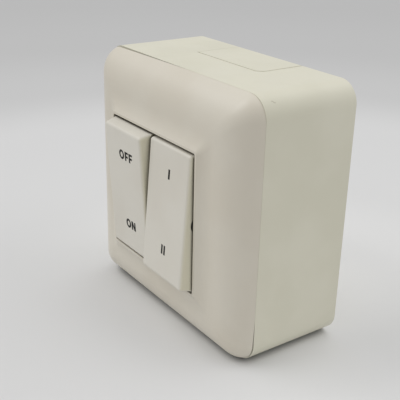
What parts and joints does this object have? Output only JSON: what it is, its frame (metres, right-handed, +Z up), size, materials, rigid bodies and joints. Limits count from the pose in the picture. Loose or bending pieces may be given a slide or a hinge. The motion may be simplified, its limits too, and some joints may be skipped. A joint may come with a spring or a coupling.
{
  "type": "fan speed control switch",
  "caption": "Surface-mounted fan switch: ivory box with a domed cover and paired rockers, one for on and off, one for low and high speed.",
  "frame": {"origin": "middle of the flat back face that lies against the wall", "axes": "X to the right seen from the front, Y into the wall, Z up; the rockers face -Y"},
  "size_m": [0.08, 0.0455, 0.08],
  "materials": {
    "ivory_abs": "satin ivory moulded ABS",
    "black_pc": "black moulded polycarbonate",
    "grey_pc": "grey moulded polycarbonate",
    "white_acetal": "natural acetal",
    "brass": "bright stamped strip",
    "steel": "zinc plated",
    "silver": "silver alloy contact",
    "copper": "bare copper wire"
  },
  "bodies": {
    "enclosure": {"surface_box": "ivory_abs", "cover_frame": "ivory_abs", "support_frame": "grey_pc", "frame_screws": "steel", "fixed_contacts": "silver", "wire_clamps": "brass", "terminal_screws": "steel", "link_wire": "copper", "left_on_terminal": "brass", "right_high_terminal": "brass", "right_low_terminal": "brass", "left_module_housing": "black_pc", "left_common_terminal": "brass", "right_module_housing": "black_pc", "right_common_terminal": "brass"},
    "left_rocker": {"left_rocker": "ivory_abs", "left_spring": "steel"},
    "left_plunger": {"left_plunger": "white_acetal"},
    "left_blade": {"left_contact_blade": "brass", "left_blade_contacts": "silver"},
    "right_rocker": {"right_rocker": "ivory_abs", "right_spring": "steel"},
    "right_plunger": {"right_plunger": "white_acetal"},
    "right_blade": {"right_contact_blade": "brass", "right_blade_contacts": "silver"}
  },
  "joints": [
    {"name": "left_rocker_hinge", "type": "hinge", "parent": "enclosure", "child": "left_rocker", "pos_m": [-0.01109, -0.0392, 0], "axis": [1, 0, 0], "range_deg": [-8.4, 0]},
    {"name": "left_plunger_slide", "type": "slide", "parent": "left_rocker", "child": "left_plunger", "axis": [0, -0.9973, -0.0732], "range_m": [0, 0.001], "stiffness_N_per_m": 350, "springref_m": -0.004, "deforming": ["left_spring"]},
    {"name": "left_blade_hinge", "type": "hinge", "parent": "enclosure", "child": "left_blade", "pos_m": [-0.01109, -0.02435, 0], "axis": [1, 0, 0], "range_deg": [0, 13.01]},
    {"name": "right_rocker_hinge", "type": "hinge", "parent": "enclosure", "child": "right_rocker", "pos_m": [0.01109, -0.0392, 0], "axis": [1, 0, 0], "range_deg": [0, 8.4]},
    {"name": "right_plunger_slide", "type": "slide", "parent": "right_rocker", "child": "right_plunger", "axis": [0, -0.9973, 0.0732], "range_m": [0, 0.001], "stiffness_N_per_m": 350, "springref_m": -0.004, "deforming": ["right_spring"]},
    {"name": "right_blade_hinge", "type": "hinge", "parent": "enclosure", "child": "right_blade", "pos_m": [0.01109, -0.02435, 0], "axis": [1, 0, 0], "range_deg": [-13.01, 0]}
  ],
  "couplings": [
    {"joint": "left_blade_hinge", "follows": "left_rocker_hinge", "ratio": -1.5476},
    {"joint": "right_blade_hinge", "follows": "right_rocker_hinge", "ratio": -1.5476}
  ]
}
